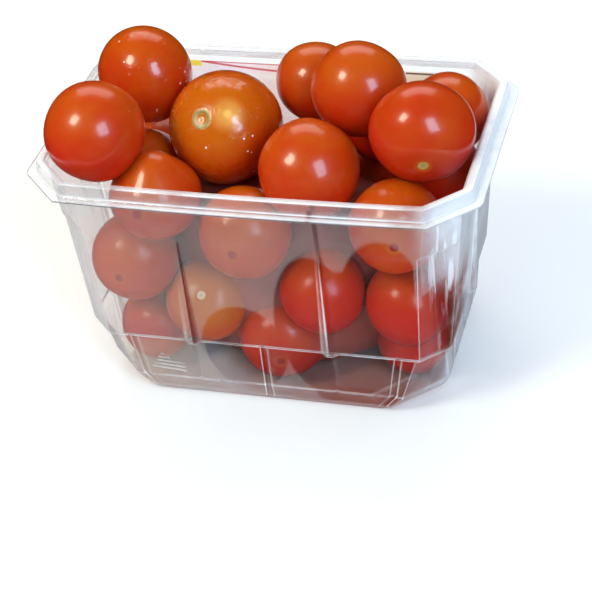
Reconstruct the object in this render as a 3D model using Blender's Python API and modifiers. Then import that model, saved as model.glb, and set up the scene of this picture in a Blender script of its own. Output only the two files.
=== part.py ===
"""A clear plastic punnet heaped with cocktail tomatoes.

Metres, +Z up. X runs along the punnet, -Y is its front, and the origin is the middle of
the underside, on the surface that the punnet stands on.
"""

import math
import random

import bmesh
import bpy
import numpy as np
from mathutils import Matrix, Vector

# Punnet, measured on the inner and upper side of the sheet
SHEET = 0.0006
LIP_HALF_X, LIP_HALF_Y = 0.0935, 0.0598
LIP_LEG = 0.0181
LIP_Z = 0.1053
SKIRT_IN = 0.0037
LEDGE_IN = 0.0071
RIM_TOP = 0.1107
FRONT_BOW = 0.0014

WALL_TOP_Z, WALL_TOP_X, WALL_TOP_Y, WALL_TOP_LEG = 0.1086, 0.0850, 0.0512, 0.0122
SHOULDER_Z, SHOULDER_RISE, SHOULDER_LEG = 0.0835, 0.0015, 0.0138
WAIST_Z, WAIST_X, WAIST_Y, WAIST_LEG = 0.0318, 0.0771, 0.0499, 0.0106
FOOT_TOP_Z, FOOT_TOP_X, FOOT_TOP_Y, FOOT_TOP_LEG = 0.0302, 0.0746, 0.0476, 0.0102
HEEL_Z, HEEL_X, HEEL_Y, HEEL_LEG = 0.0092, 0.0735, 0.0474, 0.0160
TOE_Z, TOE_X, TOE_Y, TOE_LEG = 0.0032, 0.0708, 0.0466, 0.0180
FLOOR_X, FLOOR_Y, FLOOR_LEG = 0.0668, 0.0448, 0.0190

RIB_X, RIB_WIDTH, RIB_DEPTH = 0.0295, 0.0095, 0.0024
RIB_TOP_FRONT, RIB_TOP_BACK = 0.0890, 0.0600
GROOVE_WIDTH, GROOVE_DEPTH, GROOVE_FAR_X, GROOVE_SIDE_Y = 0.0040, 0.0008, 0.0570, 0.0210

# Label stuck to the outside of the back wall
LABEL_WIDTH, LABEL_BOTTOM, LABEL_TOP = 0.1400, 0.0660, 0.1042
LABEL_THICK, LABEL_CORNER = 0.0003, 0.0030
GAP = 0.0003

# Tomatoes that show, in millimetres: middle x, y, z and diameter, from the bottom layer up
FRONT_LOW = ((-56, -23, 18.5, 33), (2, -26.5, 20.4, 38.5), (56, -17, 16.8, 31))
FRONT_MIDDLE = ((-59, -27, 56, 38), (-28.5, -29, 38, 36), (23, -31, 49, 36), (58, -30, 45, 36))
FRONT_HIGH = ((-44, -30, 91, 38), (-8, -30, 75, 39), (56, -30, 84, 38))
CROWN = (
    (-66.3, -28, 118, 41),
    (-60.5, 19, 117, 41.5),
    (-23, 5, 102, 47.4),
    (19, -20, 101, 41),
    (9.5, 32, 109.5, 34),
    (34, 11, 120, 40),
    (64.6, -12, 117, 42),
    (67, 24, 103, 34),
)
BETWEEN = ((-58, 0, 82, 34), (14, 10, 80, 34), (62, 29, 70, 36))
POINTED = FRONT_HIGH[0]
POINT_WAISTING = 0.45
SHOULDER_FLATTENING = 0.05
FACET_OVERSIZE = 1.025

# Tomatoes out of sight fill what room is left, large ones first
FILL_DIAMETERS = (0.040, 0.038, 0.036, 0.034, 0.031)
FILL_STEP = 0.002
FILL_TOP = 0.092
WALL_SPACE = 0.0009
PRESSED_IN = 0.0014
TOMATO_SIDES, TOMATO_RINGS = 12, 8

# Mass that joins the tomatoes, hidden behind the outer ones
CORE_BOTTOM_Z, CORE_TOP_Z = 0.016, 0.086
CORE_BOTTOM_X, CORE_BOTTOM_Y = 0.052, 0.027
CORE_TOP_X, CORE_TOP_Y = 0.056, 0.022


def clear_scene():
    for obj in list(bpy.data.objects):
        bpy.data.objects.remove(obj, do_unlink=True)


def new_collection(name):
    collection = bpy.data.collections.new(name)
    bpy.context.scene.collection.children.link(collection)
    return collection


def material(name, colour, roughness, alpha=1.0):
    made = bpy.data.materials.new(name)
    made.use_nodes = True
    shader = made.node_tree.nodes["Principled BSDF"]
    shader.inputs["Base Color"].default_value = (*colour, 1.0)
    shader.inputs["Roughness"].default_value = roughness
    shader.inputs["Metallic"].default_value = 0.0
    shader.inputs["Alpha"].default_value = alpha
    made.diffuse_color = (*colour, alpha)
    return made


def new_object(name, mesh, collection, finish):
    obj = bpy.data.objects.new(name, mesh)
    collection.objects.link(obj)
    mesh.materials.append(finish)
    return obj


def blend(low, high, share):
    return low + (high - low) * share


def fillet(before, corner, after, radius, pieces):
    """Points of the arc that rounds a corner of a flat outline."""
    into = (corner - before).normalized()
    out = (after - corner).normalized()
    turn = into.angle(out)
    reach = radius * math.tan(turn / 2)
    start = corner - into * reach
    side = Vector((-into.y, into.x))
    centre = start + side * radius
    arm = start - centre
    return [centre + Matrix.Rotation(turn * i / pieces, 2) @ arm for i in range(pieces + 1)]


class Level:
    """One height of the tray: an oblong with cut corners, and how far ribs and grooves stand."""

    def __init__(self, z, half_x, half_y, leg, rib=False, groove=0.0, bow=0.0):
        self.z, self.half_x, self.half_y, self.leg = z, half_x, half_y, leg
        self.rib, self.groove, self.bow = rib, groove, bow

    def rib_share(self, rib_top):
        """How much of its full depth a rib has here: none at its top, all at the waist."""
        if not self.rib:
            return 0.0
        return min(1.0, max(0.0, (rib_top - self.z) / (rib_top - WAIST_Z)))

    def long_side(self, rib_top, bow):
        """Points from the middle of a long side to its corner, as (x, distance outwards)."""
        share = self.rib_share(rib_top)
        rib_half = RIB_WIDTH / 2 * blend(0.35, 1.0, share)
        groove_half = GROOVE_WIDTH / 2
        end = self.half_x - self.leg
        far = min(GROOVE_FAR_X, end - 2 * groove_half)
        if self.groove:
            rib_half = groove_half
        points = [
            (0.0, -self.groove),
            (groove_half, 0.0),
            (RIB_X - rib_half, 0.0),
            (RIB_X, share * RIB_DEPTH - self.groove),
            (RIB_X + rib_half, 0.0),
            (far - groove_half, 0.0),
            (far, -self.groove),
            (far + groove_half, 0.0),
        ]
        return [(x, out + bow * (1 - (x / end) ** 2)) for x, out in points]

    def short_side(self):
        """Points from the corner of a short side to its middle, as (y, distance outwards)."""
        share = self.rib_share(RIB_TOP_FRONT)
        rib_half = RIB_WIDTH / 2 * blend(0.35, 1.0, share)
        groove_half = GROOVE_WIDTH / 2
        return [
            (GROOVE_SIDE_Y + groove_half, 0.0),
            (GROOVE_SIDE_Y, -self.groove),
            (GROOVE_SIDE_Y - groove_half, 0.0),
            (rib_half, 0.0),
            (0.0, share * RIB_DEPTH - self.groove),
        ]

    def corner(self):
        """The cut corner with both of its ends rounded, from the long side to the short one."""
        long_end = Vector((self.half_x - self.leg, -self.half_y))
        short_end = Vector((self.half_x, -self.half_y + self.leg))
        first = fillet(Vector((0, -self.half_y)), long_end, short_end, 0.0015, 2)
        last = fillet(long_end, short_end, Vector((self.half_x, 0)), 0.0050, 3)
        return first + last

    def half_outline(self):
        """The right half, from the middle of the front round to the middle of the back."""
        front = [(x, -self.half_y - out) for x, out in self.long_side(RIB_TOP_FRONT, self.bow)]
        back = [(x, self.half_y + out) for x, out in self.long_side(RIB_TOP_BACK, 0.0)]
        side = [(self.half_x + out, -y) for y, out in self.short_side()]
        corner = [tuple(point) for point in self.corner()]
        around = front + corner + side
        around += [(x, -y) for x, y in reversed(corner + side[:-1])]
        return [(x, y, self.z) for x, y in around + back[::-1]]


def tray_levels():
    """The heights of the tray from the edge of the lip down to the floor."""

    def rim(inset, z):
        leg = LIP_LEG - inset * (2 - math.sqrt(2))
        return Level(z, LIP_HALF_X - inset, LIP_HALF_Y - inset, leg, bow=FRONT_BOW)

    def wall(z, leg, rib=True):
        share = (z - WAIST_Z) / (WALL_TOP_Z - WAIST_Z)
        half_x = blend(WAIST_X, WALL_TOP_X, share)
        half_y = blend(WAIST_Y, WALL_TOP_Y, share)
        return Level(z, half_x, half_y, leg, rib=rib, bow=FRONT_BOW * share)

    return [
        rim(0.0, LIP_Z),
        rim(SKIRT_IN, LIP_Z),
        rim(SKIRT_IN + 0.0002, RIM_TOP - 0.0006),
        rim(SKIRT_IN + 0.0007, RIM_TOP),
        rim(LEDGE_IN, RIM_TOP),
        wall(WALL_TOP_Z, WALL_TOP_LEG, rib=False),
        wall(RIB_TOP_FRONT, WALL_TOP_LEG),
        wall(SHOULDER_Z + SHOULDER_RISE, WALL_TOP_LEG),
        wall(SHOULDER_Z, SHOULDER_LEG),
        wall(RIB_TOP_BACK, blend(WAIST_LEG, SHOULDER_LEG, 0.55)),
        wall(WAIST_Z, WAIST_LEG),
        Level(FOOT_TOP_Z, FOOT_TOP_X, FOOT_TOP_Y, FOOT_TOP_LEG, groove=GROOVE_DEPTH),
        Level(HEEL_Z, HEEL_X, HEEL_Y, HEEL_LEG, groove=GROOVE_DEPTH),
        Level(TOE_Z, TOE_X, TOE_Y, TOE_LEG),
        Level(SHEET, FLOOR_X, FLOOR_Y, FLOOR_LEG),
    ]


def make_punnet(collection):
    """The tray as one open skin, lofted level by level, given its thickness outwards."""
    skin = bmesh.new()
    rings = [[skin.verts.new(point) for point in level.half_outline()] for level in tray_levels()]
    for upper, lower in zip(rings, rings[1:]):
        for i in range(len(upper) - 1):
            skin.faces.new((upper[i], lower[i], lower[i + 1], upper[i + 1]))
    hub = skin.verts.new((0.0, 0.0, SHEET))
    floor = rings[-1]
    for i in range(len(floor) - 1):
        skin.faces.new((floor[i], hub, floor[i + 1]))
    bmesh.ops.recalc_face_normals(skin, faces=skin.faces)
    skin.normal_update()
    if skin.faces[-1].normal.z < 0:
        bmesh.ops.reverse_faces(skin, faces=skin.faces)
    mesh = bpy.data.meshes.new("punnet")
    skin.to_mesh(mesh)
    skin.free()
    tray = new_object("punnet", mesh, collection, material("clear_plastic", (0.93, 0.95, 0.97), 0.06, 0.25))
    mirror = tray.modifiers.new("other_half", "MIRROR")
    mirror.use_axis = (True, False, False)
    mirror.merge_threshold = 0.00001
    sheet = tray.modifiers.new("sheet", "SOLIDIFY")
    sheet.thickness = SHEET
    sheet.offset = -1.0
    sheet.use_even_offset = True
    return tray


def make_label(collection):
    """A thin card with rounded corners, leaning with the back wall and just clear of it."""
    height = LABEL_TOP - LABEL_BOTTOM
    middle = (LABEL_TOP + LABEL_BOTTOM) / 2
    lean = math.atan((WALL_TOP_Y - WAIST_Y) / (WALL_TOP_Z - WAIST_Z))
    wall_y = blend(WAIST_Y, WALL_TOP_Y, (middle - WAIST_Z) / (WALL_TOP_Z - WAIST_Z))
    card = bmesh.new()
    bmesh.ops.create_cube(card, size=1.0)
    bmesh.ops.scale(card, vec=(LABEL_WIDTH, LABEL_THICK, height), verts=card.verts)
    upright = [e for e in card.edges if abs((e.verts[0].co - e.verts[1].co).normalized().y) > 0.9]
    bmesh.ops.bevel(card, geom=upright, offset=LABEL_CORNER, segments=3, affect="EDGES", profile=0.5)
    mesh = bpy.data.meshes.new("back_label")
    card.to_mesh(mesh)
    card.free()
    label = new_object("back_label", mesh, collection, material("label_paper", (0.86, 0.80, 0.84), 0.45))
    label.location = (0.0, wall_y + SHEET + GAP + LABEL_THICK / 2, middle)
    label.rotation_euler.x = -lean
    return label


def room_inside(points):
    """How far each point is from the nearest wall or the floor, inside the tray."""
    x, y, z = np.abs(points[:, 0]), np.abs(points[:, 1]), points[:, 2]
    share = np.clip((z - WAIST_Z) / (WALL_TOP_Z - WAIST_Z), 0.0, None)
    upper = z > WAIST_Z
    half_x = np.where(upper, blend(WAIST_X, WALL_TOP_X, share), HEEL_X)
    half_y = np.where(upper, blend(WAIST_Y, WALL_TOP_Y, share), HEEL_Y)
    leg = np.where(upper, SHOULDER_LEG, HEEL_LEG)
    cut = (half_x + half_y - leg - x - y) / math.sqrt(2)
    ledge_x = np.hypot(FOOT_TOP_X - x, FOOT_TOP_Z - z)
    ledge_y = np.hypot(FOOT_TOP_Y - GROOVE_DEPTH - y, FOOT_TOP_Z - z)
    return np.minimum.reduce([half_x - x, half_y - y, cut, ledge_x, ledge_y, z - SHEET])


def shown_tomatoes():
    """(middle, diameter) of each tomato that shows, in metres."""
    rows = FRONT_LOW + FRONT_MIDDLE + FRONT_HIGH + BETWEEN + CROWN
    return [(np.array(row[:3]) / 1000, row[3] / 1000) for row in rows]


def room_beside(points, middle, diameter):
    """How far each point is from a tomato, which its neighbours may press into a little."""
    return np.linalg.norm(points - middle, axis=1) - diameter / 2 + PRESSED_IN


def filled_tomatoes(placed):
    """Adds tomatoes where there is room for them, always at the lowest free place."""
    span_x = np.arange(-WALL_TOP_X, WALL_TOP_X, FILL_STEP)
    span_y = np.arange(-WALL_TOP_Y, WALL_TOP_Y, FILL_STEP)
    span_z = np.arange(FILL_STEP, FILL_TOP, FILL_STEP)
    grid = np.stack(np.meshgrid(span_x, span_y, span_z, indexing="ij"), axis=-1).reshape(-1, 3)
    room = room_inside(grid) - WALL_SPACE
    for middle, diameter in placed:
        room = np.minimum(room, room_beside(grid, middle, diameter))
    filled = list(placed)
    for diameter in FILL_DIAMETERS:
        while True:
            free = np.flatnonzero(room > diameter / 2)
            if not len(free):
                break
            # lowest first, and of those the one nearest a wall
            order = np.lexsort((-np.abs(grid[free, 1]), grid[free, 0], grid[free, 2]))
            middle = grid[free[order[0]]]
            filled.append((middle, diameter))
            room = np.minimum(room, room_beside(grid, middle, diameter))
    return filled


def tomato_mesh(diameter, pointed):
    """A round fruit, a little flat at both ends, or narrowing to a blunt point at the top."""
    fruit = bmesh.new()
    bmesh.ops.create_uvsphere(
        fruit,
        u_segments=TOMATO_SIDES,
        v_segments=TOMATO_RINGS,
        radius=diameter / 2 * FACET_OVERSIZE,
    )
    for vert in fruit.verts:
        up = vert.co.normalized().z
        stretch = 1 - SHOULDER_FLATTENING * up * up
        if pointed:
            stretch = 1 - POINT_WAISTING * up * up * (1 - up * up) * (up > 0)
        vert.co *= stretch
    mesh = bpy.data.meshes.new("tomato")
    fruit.to_mesh(mesh)
    fruit.free()
    return mesh


def core_mesh():
    """A block that widens upwards, large enough to reach into every tomato."""
    core = bmesh.new()
    bmesh.ops.create_cube(core, size=2.0)
    for vert in core.verts:
        top = vert.co.z > 0
        vert.co.x *= CORE_TOP_X if top else CORE_BOTTOM_X
        vert.co.y *= CORE_TOP_Y if top else CORE_BOTTOM_Y
        vert.co.z = CORE_TOP_Z if top else CORE_BOTTOM_Z
    mesh = bpy.data.meshes.new("tomato_heap")
    core.to_mesh(mesh)
    core.free()
    return mesh


def make_heap(collection):
    """The core with every tomato joined to it as one solid."""
    skin = material("tomato_skin", (0.62, 0.09, 0.02), 0.22)
    heap = new_object("tomato_heap", core_mesh(), collection, skin)
    pieces = new_collection("loose_tomatoes")
    draw = random.Random(7)
    pointed = np.array(POINTED[:3]) / 1000
    for middle, diameter in filled_tomatoes(shown_tomatoes()):
        has_point = np.allclose(middle, pointed)
        fruit = new_object("tomato", tomato_mesh(diameter, has_point), pieces, skin)
        fruit.location = middle
        if not has_point:
            fruit.rotation_euler = [draw.uniform(-math.pi, math.pi) for _ in range(3)]
    join = heap.modifiers.new("join", "BOOLEAN")
    join.operation = "UNION"
    join.operand_type = "COLLECTION"
    join.collection = pieces
    join.solver = "MANIFOLD"
    joined = bpy.data.meshes.new_from_object(
        heap.evaluated_get(bpy.context.evaluated_depsgraph_get())
    )
    heap.modifiers.clear()
    heap.data = joined
    for obj in list(pieces.objects):
        bpy.data.objects.remove(obj, do_unlink=True)
    bpy.data.collections.remove(pieces)
    joined.shade_smooth()
    joined.set_sharp_from_angle(angle=math.radians(50))
    return heap


def main():
    clear_scene()
    parts = new_collection("tomato_punnet")
    make_punnet(parts)
    make_label(parts)
    make_heap(parts)


main()
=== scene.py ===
import math
import random

import bmesh
import bpy
import numpy as np
from mathutils import Matrix, Vector


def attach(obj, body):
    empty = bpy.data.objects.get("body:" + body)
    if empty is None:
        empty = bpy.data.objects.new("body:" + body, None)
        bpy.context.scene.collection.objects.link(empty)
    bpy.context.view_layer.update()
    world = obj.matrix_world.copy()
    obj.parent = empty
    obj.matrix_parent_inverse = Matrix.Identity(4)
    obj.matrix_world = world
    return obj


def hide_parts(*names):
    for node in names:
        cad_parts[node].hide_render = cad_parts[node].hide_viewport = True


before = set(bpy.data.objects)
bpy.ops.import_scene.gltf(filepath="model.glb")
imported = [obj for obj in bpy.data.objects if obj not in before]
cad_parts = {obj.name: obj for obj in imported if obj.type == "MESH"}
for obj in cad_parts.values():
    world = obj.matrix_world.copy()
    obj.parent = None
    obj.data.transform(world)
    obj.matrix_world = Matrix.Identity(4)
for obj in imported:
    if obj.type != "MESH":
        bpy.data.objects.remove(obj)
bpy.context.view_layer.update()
print("frame loaded:", ", ".join(sorted(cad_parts)))

mm = 0.001


# shader helpers: a socket that takes part in expressions, and a material to build with it

class Wire:
    def __init__(self, finish, socket):
        self.finish, self.socket = finish, socket

    def math(self, operation, *values):
        return self.finish.node("ShaderNodeMath", {"operation": operation}, dict(enumerate(values)))

    def __add__(self, other):
        return self.math("ADD", self, other)

    def __sub__(self, other):
        return self.math("SUBTRACT", self, other)

    def __rsub__(self, other):
        return self.math("SUBTRACT", other, self)

    def __mul__(self, other):
        return self.math("MULTIPLY", self, other)

    def __pow__(self, other):
        return self.math("POWER", self, other)

    def __lt__(self, other):
        return self.math("LESS_THAN", self, other)

    def __gt__(self, other):
        return self.math("GREATER_THAN", self, other)

    def __abs__(self):
        return self.math("ABSOLUTE", self)

    __radd__ = __add__
    __rmul__ = __mul__

    def within(self, low, high):
        return (self > low) * (self < high)

    def rising(self, low, high):  # 0 below low, 1 above high, smooth between them
        settings = {"interpolation_type": "SMOOTHSTEP"}
        ends = {"Value": self, "From Min": low, "From Max": high}
        return self.finish.node("ShaderNodeMapRange", settings, ends)

    def falling(self, low, high):
        return 1 - self.rising(low, high)

    def axis(self, letter):
        return self.finish.node("ShaderNodeSeparateXYZ", {}, {0: self}, "XYZ".index(letter))


class Finish:
    def __init__(self, owner):  # a name for a new material, or the world
        self.owner = bpy.data.materials.new(owner) if isinstance(owner, str) else owner
        self.owner.use_nodes = True
        self.tree = self.owner.node_tree
        self.tree.nodes.clear()

    def node(self, kind, settings=None, values=None, output=0):
        made = self.tree.nodes.new(kind)
        for name, value in (settings or {}).items():
            setattr(made, name, value)
        for name, value in (values or {}).items():
            if isinstance(value, Wire):
                self.tree.links.new(value.socket, made.inputs[name])
            elif value is not None:
                made.inputs[name].default_value = value
        return Wire(self, made.outputs[output]) if made.outputs else None

    def mix(self, share, low, high):  # two colours; 6 and 7 are the node's A and B
        low, high = [(*c, 1.0) if isinstance(c, tuple) else c for c in (low, high)]
        return self.node("ShaderNodeMix", {"data_type": "RGBA"}, {0: share, 6: low, 7: high}, 2)

    def noise(self, where, scale, detail=3.0, roughness=0.5):
        values = {"Vector": where, "Scale": scale, "Detail": detail, "Roughness": roughness}
        return self.node("ShaderNodeTexNoise", {}, values)

    def cells(self, where, scale):
        return self.node("ShaderNodeTexVoronoi", {}, {"Vector": where, "Scale": scale}, "Distance")

    def place(self):
        return self.node("ShaderNodeTexCoord", {}, {}, "Object")

    def normal(self):
        return self.node("ShaderNodeTexCoord", {}, {}, "Normal")

    def attribute(self, name, output="Vector"):
        return self.node("ShaderNodeAttribute", {"attribute_name": name}, {}, output)

    def bump(self, height, strength, distance, after=None):
        values = {"Height": height, "Strength": strength, "Distance": distance, "Normal": after}
        return self.node("ShaderNodeBump", {}, values)

    def facing(self):  # 0 looking straight at the surface, 1 along it
        return self.node("ShaderNodeLayerWeight", {}, {"Blend": 0.5}, "Facing")

    def shader(self, kind, values):  # a colour may be given as three numbers
        full = {k: (*v, 1.0) if isinstance(v, tuple) and "Color" in k else v for k, v in values.items()}
        return self.node("ShaderNodeBsdf" + kind, {}, full)

    def blend(self, share, low, high):  # two shaders
        return self.node("ShaderNodeMixShader", {}, {0: share, 1: low, 2: high})

    def done(self, shader, kind="Material"):
        self.node("ShaderNodeOutput" + kind, {}, {"Surface": shader})
        return self.owner


def addObject(name, data):
    made = bpy.data.objects.new(name, data)
    bpy.context.scene.collection.objects.link(made)
    return made


def meshObject(name, points, faces, material):
    mesh = bpy.data.meshes.new(name)
    mesh.from_pydata([tuple(p) for p in points], [], faces)
    mesh.materials.append(material)
    return addObject(name, mesh)


def weldAndSmooth(mesh, reach):
    work = bmesh.new()
    work.from_mesh(mesh)
    bmesh.ops.remove_doubles(work, verts=work.verts, dist=reach)
    work.to_mesh(mesh)
    work.free()
    mesh.shade_smooth()


# camera

view = {
    "azimuth": 19.24,  # degrees round from the front
    "elevation": 37.51,
    "distance": 0.8297,
    "target": (0.0, 0.0, 0.0174),
    "roll": 7.036,  # degrees clockwise
    "lens": 115.76,
}


def makeCamera(v):
    around, up = math.radians(v["azimuth"]), math.radians(v["elevation"])
    back = Vector((math.sin(around) * math.cos(up), -math.cos(around) * math.cos(up), math.sin(up)))
    right = Vector((0, 0, 1)).cross(back).normalized()
    upward = back.cross(right)
    turn = Matrix((right, upward, back)).transposed() @ Matrix.Rotation(-math.radians(v["roll"]), 3, "Z")
    camera = addObject("camera", bpy.data.cameras.new("camera"))
    camera.data.sensor_fit = "HORIZONTAL"
    camera.data.lens = v["lens"]
    camera.matrix_world = Matrix.Translation(Vector(v["target"]) + back * v["distance"]) @ turn.to_4x4()
    bpy.context.scene.camera = camera
    return turn


cameraTurn = makeCamera(view)
print("camera placed")


# tray

tray = {
    "sheet": 0.6,
    "lipHalfX": 93.5, "lipHalfY": 59.8, "lipLeg": 18.1, "lipZ": 105.3,
    "skirtIn": 3.7, "ledgeIn": 7.1, "rimTop": 110.7, "frontBow": 1.4,
    "wallTop": (108.6, 85.0, 51.2, 12.2),  # z, half length, half width, cut corner
    "waist": (31.8, 77.1, 49.9, 10.6),
    "footTop": (30.2, 74.6, 47.6, 10.2),
    "heel": (9.2, 73.5, 47.4, 16.0),
    "toe": (3.2, 70.8, 46.6, 18.0),
    "floor": (0.63, 66.8, 44.8, 19.0),
    "shoulderZ": 83.5, "shoulderRise": 1.5, "shoulderLeg": 13.8,
    "ribX": 29.5, "ribWidth": 9.5, "ribDepth": 2.4, "ribTopFront": 89.0, "ribTopBack": 60.0,
    "grooveWidth": 4.0, "grooveDepth": 0.8, "grooveFarX": 57.0, "grooveSideY": 21.0,
    "panelRise": 0.7, "panelShare": 0.86, "panelInner": 0.97,  # the raised middle of the floor
    "softEdge": 0.7,  # reach of the curves along the edges that run round the tray
    "frontRound": (1.5, 4), "endRound": (5.0, 6),  # radius and pieces of the cut corner's two bends
    "roundLine": 0.5, "panelLine": 0.4,  # how much painted highlight those bends and the panel's edge get
    "sharpFrom": 40.0,  # degrees
}
# across a rib and a groove: place, depth, and the painted highlight (or, below 0, the painted dark line) on
# the bend
ribSteps = (
    (-1.0, 0.0, 0.0), (-0.80, 0.04, 0.1), (-0.70, 0.13, 0.6), (-0.60, 0.29, 0.1), (-0.24, 0.90, 0.0),
    (-0.10, 0.98, 0.7), (0.06, 1.0, 0.0), (0.24, 0.90, -0.1), (0.60, 0.29, -0.1), (0.70, 0.13, 0.15),
    (0.80, 0.04, 0.0), (1.0, 0.0, 0.0),
)
grooveSteps = (
    (-1.0, 0.0, 0.0), (-0.86, 0.20, 0.6), (-0.72, 0.45, 0.0), (-0.4, 0.9, 0.0), (0.0, 1.0, 0.0),
    (0.4, 0.9, -0.4), (0.72, 0.45, 0.0), (0.86, 0.20, 0.7), (1.0, 0.0, 0.0),
)


def between(low, high, share):
    return {key: low[key] + (high[key] - low[key]) * share for key in low}


def level(z, halfX, halfY, leg, **more):
    # line: the painted highlight (below 0, painted dark line) on the sheet at this height, edge: the same on
    # the bend itself,
    # upright: how much of the ribs' and corners' own painted highlight shows there
    return {"z": z, "halfX": halfX, "halfY": halfY, "leg": leg, "rib": 0.0, "groove": 0.0, "bow": 0.0,
            "line": 0.0, "edge": 0.0, "upright": 1.0} | more


def trayLevels(t):
    def rim(inset, z, line, edge):
        leg = t["lipLeg"] - inset * (2 - math.sqrt(2))
        return level(z, t["lipHalfX"] - inset, t["lipHalfY"] - inset, leg, bow=t["frontBow"],
                     line=line, edge=edge, upright=0.0)

    waist, top = level(*t["waist"]), level(*t["wallTop"])

    def wall(z, leg, edge=0.0, rib=1.0):
        share = (z - waist["z"]) / (top["z"] - waist["z"])
        bow = t["frontBow"] * share
        return between(waist, top, share) | {"leg": leg, "rib": rib, "bow": bow, "edge": edge}

    waistLeg, topLeg, shoulderLeg = t["waist"][3], t["wallTop"][3], t["shoulderLeg"]
    skirt, ledge, groove = t["skirtIn"], t["ledgeIn"], {"groove": t["grooveDepth"]}
    return [
        rim(0.0, t["lipZ"], -0.9, -0.9),
        rim(0.5, t["lipZ"], 0.75, 0.75),
        rim(skirt - 1.0, t["lipZ"], 0.45, 0.45),
        rim(skirt - 0.5, t["lipZ"], -0.2, -0.3),
        rim(skirt, t["lipZ"], 0.3, 0.9),
        rim(skirt + 0.1, t["lipZ"] + 1.4, 0.1, 0.1),
        rim(skirt + 0.4, t["rimTop"] - 1.0, 0.05, 0.05),
        rim(skirt + 0.5, t["rimTop"], 0.5, 0.9),
        rim(skirt + 1.6, t["rimTop"], 0.45, 0.45),
        rim(ledge, t["rimTop"], 0.4, 0.8),
        wall(top["z"], topLeg, 0.35, rib=0.0) | {"line": 0.2, "upright": 0.0},
        wall(top["z"] - 1.2, topLeg, rib=0.0) | {"upright": 0.5},
        wall(t["ribTopFront"], topLeg),
        wall(t["shoulderZ"] + t["shoulderRise"], topLeg, 0.05),
        wall(t["shoulderZ"], shoulderLeg, 0.1),
        wall(t["ribTopBack"], waistLeg + (shoulderLeg - waistLeg) * 0.55),
        wall(waist["z"], waistLeg, 1.0),
        level(*t["footTop"], **groove, edge=0.1),
        level(*t["heel"], **groove, edge=0.55),
        level(*t["toe"], edge=0.4),
        level(*t["floor"], edge=0.3, upright=0.0),
    ]


def softened(levels, reach):
    # every edge that runs round the tray becomes a short curve
    out = [levels[0]]
    for before, here, after in zip(levels, levels[1:], levels[2:]):
        ends = []
        for other in (before, after):
            run = math.hypot(other["z"] - here["z"], other["halfX"] - here["halfX"])
            ends.append(between(here, other, min(0.45, reach / run)))
        middle = between(between(ends[0], here, 0.5), between(here, ends[1], 0.5), 0.5)
        out += [ends[0], middle | {"line": here["edge"]}, ends[1]]
    return out + [levels[-1]]


def roundedCorner(before, corner, after, radius, pieces, line):
    # the points of the fillet, each with its painted highlight: line on the middle one
    into, out = (corner - before).normalized(), (after - corner).normalized()
    turn = into.angle(out)
    start = corner - into * radius * math.tan(turn / 2)
    centre = start + Vector((-into.y, into.x)) * radius
    points = [centre + Matrix.Rotation(turn * i / pieces, 2) @ (start - centre) for i in range(pieces + 1)]
    return [(*point, line * (i == pieces // 2)) for i, point in enumerate(points)]


def halfOutline(t, now):
    # from the middle of the front round the right end to the middle of the back: x, y, line, rib
    def ribShare(ribTop):
        return now["rib"] * min(1.0, max(0.0, (ribTop - now["z"]) / (ribTop - t["waist"][0])))

    def rib(middle, share):
        half, deep, dip = t["ribWidth"] / 2 * (0.35 + 0.65 * share), t["ribDepth"] * share, now["groove"]
        return [(middle + half * a, deep * b - dip * (1 - abs(a)), c * min(1.0, 3 * share), b * (share > 0))
                for a, b, c in ribSteps]

    def groove(middle):
        half, deep = t["grooveWidth"] / 2, now["groove"] > 0
        return [(middle + half * a, -now["groove"] * b, c * deep, 0.0) for a, b, c in grooveSteps]

    def longSide(ribTop, bow):
        end = now["halfX"] - now["leg"]
        far = min(t["grooveFarX"], end - t["grooveWidth"])
        points = groove(0.0)[4:] + [(t["ribX"] / 2, 0.0, 0.0, 0.0)]
        points += rib(t["ribX"], ribShare(ribTop)) + [((t["ribX"] + far) / 2, 0.0, 0.0, 0.0)] + groove(far)
        return [(x, out + bow * (1 - (x / end) ** 2), line, ribHere) for x, out, line, ribHere in points]

    halfX, halfY, leg = now["halfX"], now["halfY"], now["leg"]
    side = [(t["grooveSideY"] - y, *rest) for y, *rest in groove(0.0)]
    side += rib(0.0, ribShare(t["ribTopFront"]))[:7]  # up to its middle, the rest is turned over below
    side = [(halfX + out, -abs(y), *rest) for y, out, *rest in side]
    longEnd, shortEnd = Vector((halfX - leg, -halfY)), Vector((halfX, leg - halfY))
    corner = roundedCorner(Vector((0, -halfY)), longEnd, shortEnd, *t["frontRound"], t["roundLine"])
    corner += roundedCorner(longEnd, shortEnd, Vector((halfX, 0)), *t["endRound"], t["roundLine"])
    corner = [(*point, 0.0) for point in corner]
    front = [(x, -halfY - out, *rest) for x, out, *rest in longSide(t["ribTopFront"], now["bow"])]
    back = [(x, halfY + out, *rest) for x, out, *rest in longSide(t["ribTopBack"], 0.0)]
    turned = [(x, -y, *rest) for x, y, *rest in reversed(corner + side[:-1])]
    return [(x * mm, y * mm, now["z"] * mm, now["line"] + line * now["upright"], ribHere)
            for x, y, line, ribHere in front + corner + side + turned + back[::-1]]


def trayRings(t):
    rings = [halfOutline(t, now) for now in softened(trayLevels(t), t["softEdge"])]
    floorRing = rings[-1]
    for share, rise in ((t["panelShare"] + 0.01, 0.0), (t["panelShare"], t["panelRise"])):
        rings.append([(x * share, y * share, z + rise * mm, t["panelLine"], 0.0)
                      for x, y, z, _, _ in floorRing])
    inner = t["panelInner"]
    rings.append([(x * inner, y * inner, z, 0.0, 0.0) for x, y, z, _, _ in rings[-1]])
    return rings


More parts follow.
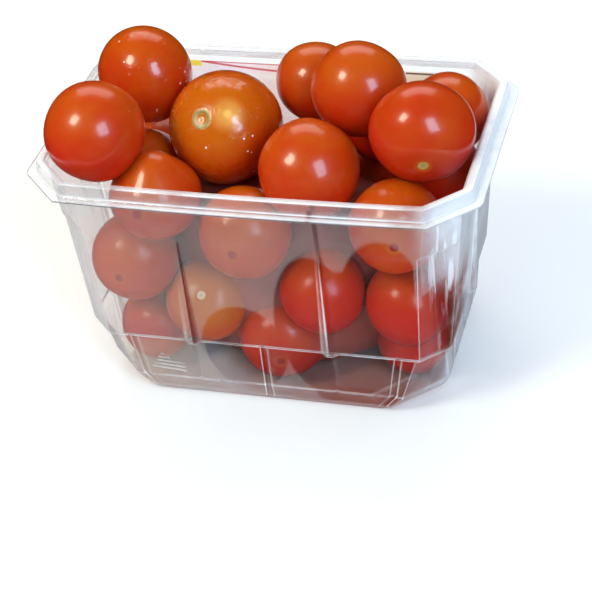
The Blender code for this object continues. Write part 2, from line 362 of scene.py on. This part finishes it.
def makeTray(t, material):
    # the right half as a skin of rings, then mirrored and given its thickness
    rings = trayRings(t)
    skin = bmesh.new()
    traces = skin.verts.layers.float_vector.new("trace")  # the painted highlight on the bends, and where the ribs are
    rows = []
    for ring in rings:
        rows.append([skin.verts.new(point[:3]) for point in ring])
        for vert, (_, _, _, line, ribHere) in zip(rows[-1], ring):
            vert[traces] = (line, ribHere, 0.0)
    for upper, lower in zip(rows, rows[1:]):
        for i in range(len(upper) - 1):
            skin.faces.new((upper[i], lower[i], lower[i + 1], upper[i + 1]))
    hub = skin.verts.new((0.0, 0.0, rings[-1][0][2]))
    for one, two in zip(rows[-1], rows[-1][1:]):
        skin.faces.new((one, hub, two))
    bmesh.ops.recalc_face_normals(skin, faces=skin.faces)
    skin.normal_update()
    if skin.faces[-1].normal.z < 0:
        bmesh.ops.reverse_faces(skin, faces=skin.faces)
    mesh = bpy.data.meshes.new("clear_tray")
    skin.to_mesh(mesh)
    skin.free()
    mesh.materials.append(material)
    mesh.shade_smooth()
    mesh.set_sharp_from_angle(angle=math.radians(t["sharpFrom"]))
    made = addObject("clear_tray", mesh)
    other = made.modifiers.new("other half", "MIRROR")
    other.merge_threshold = 0.01 * mm
    sheet = made.modifiers.new("sheet", "SOLIDIFY")
    sheet.thickness = t["sheet"] * mm
    sheet.offset = -1.0
    sheet.use_even_offset = True
    return made


clear = {
    "roughness": 0.07,
    "headOn": 0.040, "grazing": 0.12,  # light that one face reflects, seen squarely and along it
    "haze": 0.086,
    "hazeWarm": (0.88, 0.81, 0.76), "hazeCool": (0.84, 0.87, 0.92),  # front wall, other walls
    # painted reflection of the fruit in front, on the left half of the front foot
    "footReflectionTint": (0.95, 0.74, 0.58),
    "tint": (0.985, 0.988, 0.992), "edgeTint": (0.87, 0.88, 0.92),
    "edgeGlow": 0.90,  # how much painted light of the room the sheet picks up along its edges
    # painted red of the fruit, as the bent sheet shows it on a rib and in a streak
    "paintedFruitRed": (0.52, 0.20, 0.14),
    "redReflectionTint": (0.74, 0.42, 0.34),  # painted reflection: the fruit's red that shows in the sheet
    # painted highlight and painted dark line on the bends
    "lineWhite": (0.93, 0.92, 0.95), "lineDark": (0.30, 0.31, 0.34),
    "refraction": 1.57,
}
# where the sheet's marks stand, in mm: a pair is the two ends of a mark, or of its soft edge
marks = {
    # the front wall is clearer in these ovals, a painted reflection of the fruit in front of it: middle x and
    # z, half width and half height
    "ovals": ((-7.6, 29.4, 18.5, 23.5), (24.5, 45, 17.5, 37), (54, 50, 20, 42), (39, 34, 24, 42)),
    "ovalRim": (0.90, 1.04),
    # and clearer on the right cut corner below a slanting line
    "cornerX": 67.0, "cornerSlope": 0.6, "cornerZ": (22.0, 24.0),
    "clearerY": (-36.0, -34.0),
    "rimZ": 104.0,  # from here up the haze is thinner and has no streaks
    "warmY": (-48.0, -40.0),
    "footY": -40.0, "footZ": (2.5, 30.5), "footLeft": (-45.0, -5.0), "footRight": (-20.0, 30.0),
    "ridgePitch": 3.3, "ridgeTilt": 0.25, "ridgeZ": (12.5, 22.5),  # moulded lines on the foot, drawn as painted highlights
    "ridgeLeft": -59.0, "ridgeLean": 0.6, "ridgeRight": -36.0,
    "lightStreakX": (68.0, 76.0), "lightStreakZ": (40.0, 75.0),  # painted upright streaks of light at both ends
    "glowX": (66.0, 82.0), "glowY": (-22.0, 4.0), "glowZ": (38.0, 66.0),  # painted light on the right end wall
    # where the painted reflection of the fruit's red lies
    "redReflectionX": (70.0, 78.0), "redReflectionY": (-28.0, 0.0), "redReflectionFrom": 26.0, "redReflectionTo": (52.0, 74.0),
    "bottomX": (-30.0, 20.0), "bottomZ": (0.9, 2.5),
    # a dark red line up the front, above the right rib, painted: the fruit's red as the bent sheet shows it
    "streakX": 30.3, "streakWidth": (0.3, 1.3), "streakY": -48.0, "streakZ": (60.0, 96.0), "streakTop": 107.5,
}


def clearerShare(x, y, z, m):
    milky = 1.0
    for middleX, middleZ, halfWide, halfHigh in m["ovals"]:
        across, up = (x - middleX) * (1 / halfWide), (z - middleZ) * (1 / halfHigh)
        milky = milky * (across * across + up * up).rising(*m["ovalRim"])
    onWall = (1 - milky) * (x < m["cornerX"])
    onCorner = (x > m["cornerX"]) * (z - x * m["cornerSlope"]).falling(*m["cornerZ"])
    return (1 - (1 - onWall) * (1 - onCorner)) * y.falling(*m["clearerY"])


# moulded lines on the foot, drawn as painted highlights
def ridgeShare(f, place, x, y, z, m):
    wave = z * m["ridgePitch"] + x * m["ridgeTilt"]
    lines = wave.math("SINE", wave).rising(0.60, 1.0) * z.within(*m["ridgeZ"]) * (y < m["footY"])
    lines = lines * (x > z * m["ridgeLean"] + m["ridgeLeft"]) * (x < m["ridgeRight"])
    return lines * f.noise(place, 90.0, 2.0).rising(0.40, 0.56)


# painted upright streaks of light at both ends
def lightStreakShare(f, place, x, z, m):
    drawnUp = f.node("ShaderNodeVectorMath", {"operation": "MULTIPLY"}, {0: place, 1: (1.0, 1.0, 0.10)})
    lightStreaks = f.noise(drawnUp, 330.0, 3.0).rising(0.56, 0.68) * abs(x).rising(*m["lightStreakX"]) * (z < m["rimZ"])
    return lightStreaks * (0.15 + 0.45 * (x > 0) * z.rising(*m["lightStreakZ"]))


def redReflectionShare(f, place, x, y, z, m):
    # painted reflection of the fruit's red: in the right end wall, in the bottom and in the right half of the
    # front foot
    wall = x.rising(*m["redReflectionX"]) * y.falling(*m["redReflectionY"]) * (z > m["redReflectionFrom"])
    wall = wall * z.falling(*m["redReflectionTo"]) * f.noise(place, 60.0, 2.0).rising(0.28, 0.48)
    bottom = z.falling(*m["bottomZ"]) * (0.25 + 0.40 * x.rising(*m["bottomX"]))
    foot = (y < m["footY"]) * z.within(*m["footZ"]) * x.rising(*m["footRight"])
    return wall + bottom + foot * 0.30


def clearPlastic(c, m):
    f = Finish("clear_plastic")
    place, along, normal, trace = f.place(), f.facing(), f.normal(), f.attribute("trace")
    line, ribHere = trace.axis("X"), trace.axis("Y")
    x, y, z = (place.axis(letter) * 1000 for letter in "XYZ")
    ripple, scuff = f.noise(place, 45.0, 2.0), f.noise(place, 260.0, 4.0, 0.65)
    surface = f.bump(ripple + scuff * 0.05, 0.30, 0.0010)
    bendGlints = f.noise(place, 38.0, 3.0).rising(0.34, 0.60)  # painted highlights: the bends catch the light here and there
    # one side of each rib is clear, and the front's left rib gets a painted red: the fruit's red as the bent
    # sheet shows it
    flank = ribHere * (normal.axis("X") * normal.axis("Y") * -1).rising(0.05, 0.25)
    leftRib = (ribHere > 0.02) * (x < 0) * (y < 0)
    streak = abs(x - m["streakX"] + z * 0.01).falling(*m["streakWidth"]) * z.rising(*m["streakZ"])
    streak = streak * (y < m["streakY"]) * (z < m["streakTop"])
    redReflection = redReflectionShare(f, place, x, y, z, m)
    # painted reflection of the fruit in front: the front foot's left half gets thicker, warmer haze
    footReflection = (y < m["footY"]) * z.within(*m["footZ"]) * x.falling(*m["footLeft"])

    def sheer(colour):
        return f.shader("Transparent", {"Color": colour})

    through = f.blend(along ** 4, sheer(c["tint"]), sheer(c["edgeTint"]))
    # painted dark lines on some bends, and painted red of the fruit on the rib, the streak and the walls
    through = f.blend((line * -1).rising(0.0, 1.0), through, sheer(c["lineDark"]))
    through = f.blend(1 - (1 - flank * leftRib * 0.9) * (1 - streak), through, sheer(c["paintedFruitRed"]))
    through = f.blend(redReflection * 0.9, through, sheer(c["redReflectionTint"]))

    hazeColour = f.mix(y.falling(*m["warmY"]), c["hazeCool"], c["hazeWarm"])
    milky = f.shader("Principled", {
        "Base Color": f.mix(footReflection, hazeColour, c["footReflectionTint"]),
        "Roughness": 0.35 + scuff * 0.2, "IOR": c["refraction"], "Alpha": 0.5, "Normal": surface,
    })
    bright = f.shader("Principled", {
        "Base Color": c["lineWhite"], "Roughness": 0.25, "IOR": c["refraction"], "Normal": surface,
    })
    gloss = f.shader("Glossy", {
        "Color": (1.0, 1.0, 1.0), "Roughness": c["roughness"], "Normal": surface,
    })

    milk = (1 - clearerShare(x, y, z, m) * 0.97) * (1 - flank * 0.85) * (1 - 0.35 * (z > m["rimZ"]))
    haze = c["haze"] * (1.2 + scuff * 1.2 - 0.2 * ripple) * milk * (1 + footReflection)
    # painted highlights, mixed in as a bright white: the bends in patches, the foot's moulded lines, the
    # upright streaks and the right end wall
    bends = line.rising(0.0, 1.1) * (0.22 + 0.70 * bendGlints) * (0.8 + 0.4 * scuff) * (1 - leftRib * 0.8)
    ridges, lightStreaks = ridgeShare(f, place, x, y, z, m), lightStreakShare(f, place, x, z, m)
    # painted light on the right end wall
    glow = x.rising(*m["glowX"]) * (z + y * 0.5).rising(*m["glowZ"]) * (0.5 + 0.5 * bendGlints)
    glow = glow * (0.60 + 0.30 * y.rising(*m["glowY"]))
    light = 1 - (1 - bends) * (1 - ridges * 0.5) * (1 - lightStreaks) * (1 - glow)
    body = f.blend(light, f.blend(haze, through, milky), bright)
    # painted light of the room along the edges
    body = f.blend(along ** 4 * c["edgeGlow"] * (1 - redReflection * 0.9), body, bright)
    # no gloss on the underside, where the sheet lies on the floor
    shine = (c["headOn"] + c["grazing"] * along ** 5) * (0.15 + 0.85 * milk) * z.rising(1.5, 6.0)
    return f.done(f.blend(shine, body, gloss))


clearTray = makeTray(tray, clearPlastic(clear, marks))
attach(clearTray, "root")
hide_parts("punnet")
print("tray made")


# tomatoes

redBrown, cream, olive = (0.34, 0.008, 0.003), (0.74, 0.58, 0.36), (0.44, 0.29, 0.080)

# middle x, y, z and diameter in mm, ripeness, scar's azimuth and elevation in degrees, its colour
shownTomatoes = [
    (-56, -23, 18.5, 33, 0.85, 120, -20, redBrown),
    (2, -26.5, 20.4, 38.5, 0.85, 11, -4, redBrown),
    (56, -17, 16.8, 31, 0.95, 150, -30, redBrown),
    (-59, -27, 56, 38, 0.65, -5, 3, redBrown),
    (-28.5, -29, 38, 36, 0.25, 8, 42, cream),
    (23, -31, 49, 36, 0.90, 160, -30, redBrown),
    (58, -30, 45, 36, 0.80, 150, 10, olive),
    (-44, -30, 91, 38, 0.68, -4, 7, redBrown),
    (-8, -30, 75, 39, 0.55, 0, 3, redBrown),
    (56, -30, 84, 38, 0.65, 10, 7, redBrown),
    (-58, 0, 82, 34, 0.70, 170, 0, olive),
    (14, 10, 80, 34, 0.80, 170, 30, redBrown),
    (62, 29, 70, 36, 0.90, 120, -10, redBrown),
    (-66.3, -28, 118, 41, 0.70, 200, -30, olive),
    (-60.5, 19, 117, 41.5, 0.58, 150, 5, olive),
    (-23, 5, 102, 47.4, 0.42, -11, 40, olive),
    (19, -20, 101, 41, 0.65, 190, -35, redBrown),
    (9.5, 32, 109.5, 34, 0.55, 165, 0, olive),
    (34, 11, 120, 39.4, 0.60, 175, -10, redBrown),
    (64.6, -12, 117, 42, 0.85, 12, -13, olive),
    (67, 24, 103, 34, 0.70, 140, -10, redBrown),
]
pointedOne = 7  # its top is drawn up to a blunt point
wetOnes = {14: 0.6, 15: 1.0}  # how wet they are

fill = {
    "diameters": (40, 38, 36, 34, 31),  # tried in this order
    "step": 2.0, "top": 92.0,  # spacing of the places that are tried, and the highest of them
    "wallSpace": 0.9, "pressedIn": 1.4,  # gap to the tray, and how far two fruits press together
}
fruit = {
    "rings": 36, "spokes": 48,
    "ringSpread": 1.25,  # above 1 the rings crowd towards the stem
    # all widths below are angles from the stem, all heights are shares of the radius
    "stemDip": 0.040, "stemWidth": 0.36,
    "scar": 0.115, "scarSunk": 0.014, "scarEdge": 0.008,
    "collar": 0.010, "collarOut": 0.03, "collarWidth": 0.022,
    "tip": 0.010, "tipWidth": 0.12,
    "lobe": 0.008, "lump": 0.007, "lumpSpread": 2.4,
    "squash": (0.90, 0.99),  # height over width
    "waisting": 0.45,  # how much the pointed one draws in below its top
    "hiddenRipe": (0.3, 1.0), "hiddenTilt": (-60, 60),
    "seed": 11,
}


def roomInside(t, points):
    x, y, z = np.abs(points[:, 0]), np.abs(points[:, 1]), points[:, 2]
    waist, top, foot, heel = t["waist"], t["wallTop"], t["footTop"], t["heel"]
    share = np.clip((z - waist[0]) / (top[0] - waist[0]), 0.0, None)
    upper = z > waist[0]
    halfX = np.where(upper, waist[1] + (top[1] - waist[1]) * share, heel[1])
    halfY = np.where(upper, waist[2] + (top[2] - waist[2]) * share, heel[2])
    leg = np.where(upper, t["shoulderLeg"], heel[3])
    cut = (halfX + halfY - leg - x - y) / math.sqrt(2)
    ledgeX = np.hypot(foot[1] - x, foot[0] - z)
    ledgeY = np.hypot(foot[2] - t["grooveDepth"] - y, foot[0] - z)
    return np.minimum.reduce([halfX - x, halfY - y, cut, ledgeX, ledgeY, z - t["sheet"]])


def hiddenTomatoes(t, f, placed):
    # large ones first, each at the lowest free place
    spans = [np.arange(-t["wallTop"][i], t["wallTop"][i], f["step"]) for i in (1, 2)]
    spans.append(np.arange(f["step"], f["top"], f["step"]))
    grid = np.stack(np.meshgrid(*spans, indexing="ij"), axis=-1).reshape(-1, 3)

    def roomBeside(middle, diameter):
        return np.linalg.norm(grid - middle, axis=1) - diameter / 2 + f["pressedIn"]

    room = roomInside(t, grid) - f["wallSpace"]
    for middle, diameter in placed:
        room = np.minimum(room, roomBeside(middle, diameter))
    found = []
    for diameter in f["diameters"]:
        while True:
            free = np.flatnonzero(room > diameter / 2)
            if not len(free):
                break
            order = np.lexsort((-np.abs(grid[free, 1]), grid[free, 0], grid[free, 2]))
            middle = grid[free[order[0]]]
            found.append((middle, diameter))
            room = np.minimum(room, roomBeside(middle, diameter))
    return found


def fruitPoints(f, draw):
    # a grid from the stem scar, at +Z, to the blossom end: directions, and how far out each point is
    down = np.pi * (np.arange(f["rings"] + 1) / f["rings"]) ** f["ringSpread"]
    about = 2 * np.pi * np.arange(f["spokes"]) / f["spokes"]
    down, about = np.meshgrid(down, about, indexing="ij")
    way = np.stack([np.sin(down) * np.cos(about), np.sin(down) * np.sin(about), np.cos(down)], axis=-1)
    far = np.ones_like(down)
    far -= f["stemDip"] * np.exp(-((down / f["stemWidth"]) ** 2))
    far -= f["scarSunk"] / (1 + np.exp((down - f["scar"]) / f["scarEdge"]))
    far += f["collar"] * np.exp(-(((down - f["scar"] - f["collarOut"]) / f["collarWidth"]) ** 2))
    far += f["tip"] * np.exp(-(((np.pi - down) / f["tipWidth"]) ** 2))
    lobes = draw.choice((3, 4, 5))
    far += f["lobe"] * np.sin(down) ** 2 * np.cos(lobes * about + draw.uniform(0, 6))
    for _ in range(3):
        lean = np.array([draw.uniform(-f["lumpSpread"], f["lumpSpread"]) for _ in range(3)])
        far += f["lump"] * np.sin(way @ lean + draw.uniform(0, 6))
    return way, far / far[f["rings"] // 3:].mean()


def allTomatoes(f, draw):
    rows = list(shownTomatoes)
    placed = [(np.array(row[:3], float), row[3]) for row in rows]
    for middle, diameter in hiddenTomatoes(tray, fill, placed):
        colour = draw.choice((redBrown, cream, olive))
        ripe, around = draw.uniform(*f["hiddenRipe"]), draw.uniform(0, 360)
        rows.append((*middle, diameter, ripe, around, draw.uniform(*f["hiddenTilt"]), colour))
    return rows


def oneTomato(f, draw, diameter, around, up, pointed):
    # its points about its own middle, and their directions from the stem
    way, far = fruitPoints(f, draw)
    around, up = math.radians(around), math.radians(up)
    stem = Vector((math.sin(around) * math.cos(up), -math.cos(around) * math.cos(up), math.sin(up)))
    turn = stem.to_track_quat("Z", "Y").to_matrix() @ Matrix.Rotation(draw.uniform(0, 6), 3, "Z")
    local = way * far[..., None] * diameter / 2
    local[..., 2] *= draw.uniform(*f["squash"])
    local = local.reshape(-1, 3) @ np.array(turn).T
    if pointed:
        out = np.linalg.norm(local, axis=1, keepdims=True)
        high = np.clip(local[:, 2:] / out, 0, 1) ** 2
        local = local / out * diameter / 2 * (1 - f["waisting"] * high * (1 - high))
    return local, way.reshape(-1, 3)


def makeTomatoes(f, material):
    draw = random.Random(f["seed"])
    points, onFruit, tone, scarTint, faces = [], [], [], [], []
    for number, (x, y, z, diameter, ripe, around, up, colour) in enumerate(allTomatoes(f, draw)):
        local, way = oneTomato(f, draw, diameter, around, up, number == pointedOne)
        first, spokes = len(points), f["spokes"]
        points += list((local + np.array((x, y, z), float)) * mm)
        onFruit += list(way)
        tone += [(ripe, wetOnes.get(number, 0.0), draw.uniform(0, 1))] * len(local)
        scarTint += [(*colour, 1.0)] * len(local)
        for ring in range(f["rings"]):
            for i in range(spokes):
                a, b = first + ring * spokes + i, first + ring * spokes + (i + 1) % spokes
                faces.append((a, a + spokes, b + spokes, b))
    made = meshObject("tomatoes", points, faces, material)
    for name, kind, part, rowsOf in (("onFruit", "FLOAT_VECTOR", "vector", onFruit),
                                     ("tone", "FLOAT_VECTOR", "vector", tone),
                                     ("scarTint", "FLOAT_COLOR", "color", scarTint)):
        layer = made.data.attributes.new(name, kind, "POINT")
        layer.data.foreach_set(part, np.array(rowsOf, np.float32).ravel())
    weldAndSmooth(made.data, 0.0001 * mm)
    return made


skinTones = {
    "red": (0.480, 0.012, 0.0015), "orange": (0.530, 0.100, 0.0020), "ochre": (0.500, 0.165, 0.004),
    "deep": (0.40, 0.004, 0.001),  # painted shade on the underside of ripe ones
    "speck": (0.70, 0.42, 0.16),
    "ring": (0.230, 0.165, 0.020), "ringFrom": 0.75,  # a wide corky ring in place of the scar, if wetter
    "heart": (0.26, 0.03, 0.01),  # the middle of a scar
    "spot": (0.86, 0.50, 0.12), "spotAt": (-0.0157, -0.0099, 0.1182),  # on the wet fruit in the middle
    # painted glints on the water beads
    "beadGlint": (0.95, 0.93, 0.92),
    "flesh": (1.0, 0.10, 0.04), "fleshDepth": 0.009,  # how deep each colour of light goes
    "roughness": 0.26, "coat": 0.60, "coatRoughness": 0.13,
    "rimZ": (0.07, 0.10),  # above the rim the skins are glossier
}


def ripeColour(f, s, place, ripe, stemward):
    cloud = f.noise(place, 55.0, 3.0)
    up = f.normal().axis("Z")
    nearStem = stemward.rising(0.35, 1.0) * 0.25
    paintedTopLight = up.rising(-0.3, 1.0) * 0.45  # painted light: the upper side has less red
    ripeness = (ripe + (cloud - 0.5) * 0.9 - nearStem - paintedTopLight + 0.2).rising(-0.1, 1.1)
    colour = f.mix(ripeness, s["orange"], s["red"])
    unripe = stemward.rising(0.40, 1.0) * (1 - ripe).rising(0.35, 0.9) * (0.35 + 0.5 * cloud)
    colour = f.mix(unripe, colour, s["ochre"])
    specks = f.cells(place, 105.0).falling(0.022, 0.045) * (f.noise(place, 27.0) > 0.57)
    colour = f.mix(specks * 0.5, colour, s["speck"])
    # painted shade: the underside of ripe ones turns deep red
    shaded = up.falling(-0.75, 0.15) * ripe.rising(0.70, 0.85)
    return f.mix(shaded * 0.9, colour, s["deep"])


def tomatoSkin(s):
    f = Finish("tomato_skin")
    place, way, tone = f.place(), f.attribute("onFruit"), f.attribute("tone")
    ripe, wet, chance = (tone.axis(letter) for letter in "XYZ")
    sideX, sideY, stemward = (way.axis(letter) for letter in "XYZ")
    colour = ripeColour(f, s, place, ripe, stemward)

    # the stem scar: a dry disc, or the corky ring on the wettest fruit
    off = (sideX * sideX + sideY * sideY) ** 0.5 + 2 * (stemward < 0)
    ragged = off + (f.noise(place, 420.0) - 0.5) * 0.035
    collar = ragged.falling(0.12, 0.22) * (0.20 + 0.45 * (1 - ripe))
    colour = f.mix(collar, colour, s["ochre"])
    scar = ragged.falling(0.095, 0.112) * (wet < s["ringFrom"])
    heart = ragged.falling(0.030, 0.050) * 0.3
    colour = f.mix(scar, colour, f.mix(heart, f.attribute("scarTint", "Color"), s["heart"]))
    ring = ragged.rising(0.085, 0.115) * ragged.falling(0.165, 0.200) * (wet > s["ringFrom"])
    colour = f.mix(ring * 0.85, colour, s["ring"])
    ends = {0: place, 1: s["spotAt"]}
    fromSpot = f.node("ShaderNodeVectorMath", {"operation": "DISTANCE"}, ends, "Value") * 1000
    glow = fromSpot.falling(1.5, 9.0) * (0.35 + 0.4 * f.noise(place, 200.0))
    colour = f.mix(glow + fromSpot.falling(0.8, 2.6) * 0.4, colour, s["spot"])

    # water on the wet ones: small white beads, which are painted glints, drops, and a smear that breaks the
    # shine
    beadGlints = f.cells(place, 300.0).falling(0.10, 0.17) * f.noise(place, 64.0, 1.0).rising(0.56, 0.60) * wet
    colour = f.mix(beadGlints * 0.9, colour, s["beadGlint"])
    drops = f.cells(place, 170.0).falling(0.16, 0.30) * f.noise(place, 75.0).rising(0.54, 0.60) * wet
    smear = f.noise(place, 130.0, 4.0, 0.6).rising(0.46, 0.62) * wet
    dry = f.noise(place, 330.0, 2.0).falling(0.44, 0.56) * wet

    grain = f.noise(place, 900.0, 2.0)
    pits = f.cells(place, 240.0).falling(0.05, 0.12)
    lumps = f.bump(f.noise(place, 110.0, 2.0), 0.22, 0.0004)
    relief = grain * 0.08 - pits * 0.25 + drops * 1.5 + smear * 1.1
    relief = relief + scar * f.noise(place, 1500.0) - ring * 0.5
    inOpen = place.axis("Z").rising(*s["rimZ"])
    coat = (s["coat"] + (1 - s["coat"]) * wet) * (1 - scar - ring) * (0.25 + 0.75 * inOpen) * (1 - dry)
    return f.done(f.shader("Principled", {
        "Base Color": colour,
        "Roughness": s["roughness"] + 0.05 * grain + 0.35 * scar + 0.04 * chance - 0.12 * wet,
        "IOR": 1.36,
        "Subsurface Weight": 0.60, "Subsurface Radius": s["flesh"], "Subsurface Scale": s["fleshDepth"],
        "Coat Weight": coat, "Coat Roughness": s["coatRoughness"], "Coat IOR": 1.45,
        "Normal": f.bump(relief, 0.35, 0.00035, lumps),
    }))


tomatoes = makeTomatoes(fruit, tomatoSkin(skinTones))
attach(tomatoes, "root")
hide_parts("tomato_heap")
print("tomatoes made:", len(tomatoes.data.polygons), "faces")

core = {
    "low": (62, 39, 3), "high": (54, 26, 82),  # half length, half width and height of its two ends
    "sides": 24, "rings": 10, "bulge": 0.05, "bulges": 5,
    "squareness": 0.35,  # below 1 the ends are blunt
    # painted shade: the core's dark red stands in for fruit deep in the heap, darker in patches
    "colour": (0.42, 0.055, 0.030), "dark": 0.4,
}


def coreFinish(c):
    f = Finish("shaded_fruit")
    place = f.place()
    patches = f.noise(place, 70.0, 3.0)
    return f.done(f.shader("Principled", {
        "Base Color": f.mix(patches, c["colour"], tuple(c["dark"] * v for v in c["colour"])),
        "Roughness": 0.45 + 0.2 * patches,
        "Normal": f.bump(patches, 0.5, 0.002),
    }))


def makeCore(c, material):
    # a blunt lump behind the outer tomatoes
    points, faces = [], []
    low, high, sides, rings = c["low"], c["high"], c["sides"], c["rings"]
    for ring in range(rings + 1):
        turn = math.pi * ring / rings
        share = 0.5 - 0.5 * math.cos(turn)
        full = math.sin(turn) ** c["squareness"] if 0 < ring < rings else 0.0
        halfX, halfY, z = (a + (b - a) * share for a, b in zip(low, high))
        for side in range(sides):
            around = 2 * math.pi * side / sides
            spread = full * (1 + c["bulge"] * math.sin(c["bulges"] * around + ring)) * mm
            points.append((halfX * spread * math.cos(around), halfY * spread * math.sin(around), z * mm))
    for ring in range(rings):
        for i in range(sides):
            a, b = ring * sides + i, ring * sides + (i + 1) % sides
            faces.append((a, b, b + sides, a + sides))
    made = meshObject("heap_core", points, faces, material)
    weldAndSmooth(made.data, 0.001 * mm)
    return made


heapCore = makeCore(core, coreFinish(core))
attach(heapCore, "root")
print("core made")


# label on the back wall, printed in plain fields of colour

label = {
    "ground": (0.90, 0.85, 0.86), "white": (0.93, 0.93, 0.93), "beige": (0.76, 0.68, 0.50),
    "red": (0.58, 0.02, 0.04), "yellow": (0.85, 0.68, 0.02), "dark": (0.03, 0.03, 0.02),
    "panelX": 43.0, "panelLine": 103.4,  # the beige panel starts here, with a dark line at this height
    "fields": (  # colour, z from and to, x from and to, in mm
        ("white", 96.8, 99.0, -60, -40.5), ("white", 96.8, 99.0, -32.6, -30.5),
        ("white", 96.8, 99.0, -28, 12), ("white", 72.0, 75.5, -64, 36), ("white", 78.5, 80.0, -64, 10),
        ("yellow", 101.6, 105.2, -60, -48),
    ),
    "linesX": (-50, 40), "straightZ": 104.2,  # two red lines, one straight and one that sags
    "sagX": 10, "sagZ": 100.4, "sag": 0.0011,
    "glow": 0.50,  # a painted glow for the daylight that comes through the paper to its inner side
}


def labelPrint(c):
    f = Finish("label_paper")
    place = f.place()
    x, z = place.axis("X") * 1000, place.axis("Z") * 1000
    fibre = f.noise(place, 1400.0, 3.0)
    colour = f.mix(fibre * 0.25, c["ground"], c["white"])
    colour = f.mix(x > c["panelX"], colour, c["beige"])
    fromSag = z - (c["sagZ"] + (c["sagX"] - x) * (c["sagX"] - x) * c["sag"])
    lines = abs(z - c["straightZ"]).falling(0.25, 0.45) + abs(fromSag).falling(0.35, 0.65)
    colour = f.mix(lines * x.within(*c["linesX"]) * 0.9, colour, c["red"])
    for name, low, high, left, right in c["fields"]:
        colour = f.mix(z.within(low, high) * x.within(left, right), colour, c[name])
    colour = f.mix(abs(z - c["panelLine"]).falling(0.3, 0.5) * (x > c["panelX"]), colour, c["dark"])
    return f.done(f.shader("Principled", {
        "Base Color": colour, "Roughness": 0.40 + 0.15 * fibre,
        "Normal": f.bump(fibre, 0.15, 0.0001),
        # painted glow on the inner side, none on the back
        "Emission Color": f.mix(f.normal().axis("Y") > 0, colour, (0.0, 0.0, 0.0)),
        "Emission Strength": c["glow"],
    }))


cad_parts["back_label"].data.materials.clear()
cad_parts["back_label"].data.materials.append(labelPrint(label))
print("label printed")


# floor and light

paleFloor = {"half": 3.0, "low": (0.90, 0.90, 0.91), "high": (0.93, 0.93, 0.93)}


def floorFinish(c):
    f = Finish("pale_floor")
    place = f.place()
    mottle = f.noise(place, 6.0, 4.0)
    return f.done(f.shader("Principled", {
        "Base Color": f.mix(mottle, c["low"], c["high"]),
        "Roughness": 0.55 + 0.1 * mottle,
        "Normal": f.bump(f.noise(place, 300.0, 3.0), 0.05, 0.0005),
    }))


half = paleFloor["half"]
corners = [(-half, -half, 0), (half, -half, 0), (half, half, 0), (-half, half, 0)]
floor = meshObject("floor", corners, [(0, 1, 2, 3)], floorFinish(paleFloor))
floor.visible_glossy = False

lampTarget = Vector((0, 0, 0.08))
lamps = {
    # direction in the camera's right, up and back; distance, width, height, radiance, colour
    "warm_lamp": ((-0.66, 0.32, 0.68), 1.3, 0.34, 0.38, 21.0, (1.0, 0.95, 0.74)),
    "lilac_window": ((0.34, 0.02, 0.94), 1.4, 0.46, 0.76, 11.5, (0.48, 0.76, 1.0)),
    "overhead_softbox": ((-0.05, 0.93, -0.10), 1.6, 1.4, 0.8, 2.3, (1.0, 0.97, 0.90)),
}


def makeLamps(rows, turn, middle):
    for name, (way, distance, width, height, radiance, colour) in rows.items():
        lamp = bpy.data.lights.new(name, "AREA")
        lamp.shape = "RECTANGLE"
        lamp.size, lamp.size_y = width, height
        lamp.energy = radiance * math.pi * width * height
        lamp.color = colour
        out = (turn @ Vector(way)).normalized()
        aim = out.to_track_quat("Z", "Y").to_matrix().to_4x4()
        addObject(name, lamp).matrix_world = Matrix.Translation(middle + out * distance) @ aim


makeLamps(lamps, cameraTurn, lampTarget)

room = {
    "front": (0.56, 0.56, 0.57), "back": (0.60, 0.61, 0.63),
    "turned": 19.0, "rise": 0.35,  # degrees round, and how far upwards the light side lies
    "fade": (-0.75, 0.35),
}


def makeRoom(r):
    # darker in front, where the camera stands, and light behind
    f = Finish(bpy.data.worlds.new("soft_room"))
    around = math.radians(r["turned"])
    way = f.node("ShaderNodeTexCoord", {}, {}, "Generated")
    backward = (-math.sin(around), math.cos(around), r["rise"])
    ahead = f.node("ShaderNodeVectorMath", {"operation": "DOT_PRODUCT"}, {0: way, 1: backward}, "Value")
    colour = f.mix(ahead.rising(*r["fade"]), r["front"], r["back"])
    return f.done(f.node("ShaderNodeBackground", {}, {"Color": colour, "Strength": 1.0}), "World")


bpy.context.scene.world = makeRoom(room)
# only the lamps and the object itself show in the shine
bpy.context.scene.world.cycles_visibility.glossy = False
bpy.context.scene.view_settings.view_transform = "Standard"
print("floor and lamps placed")
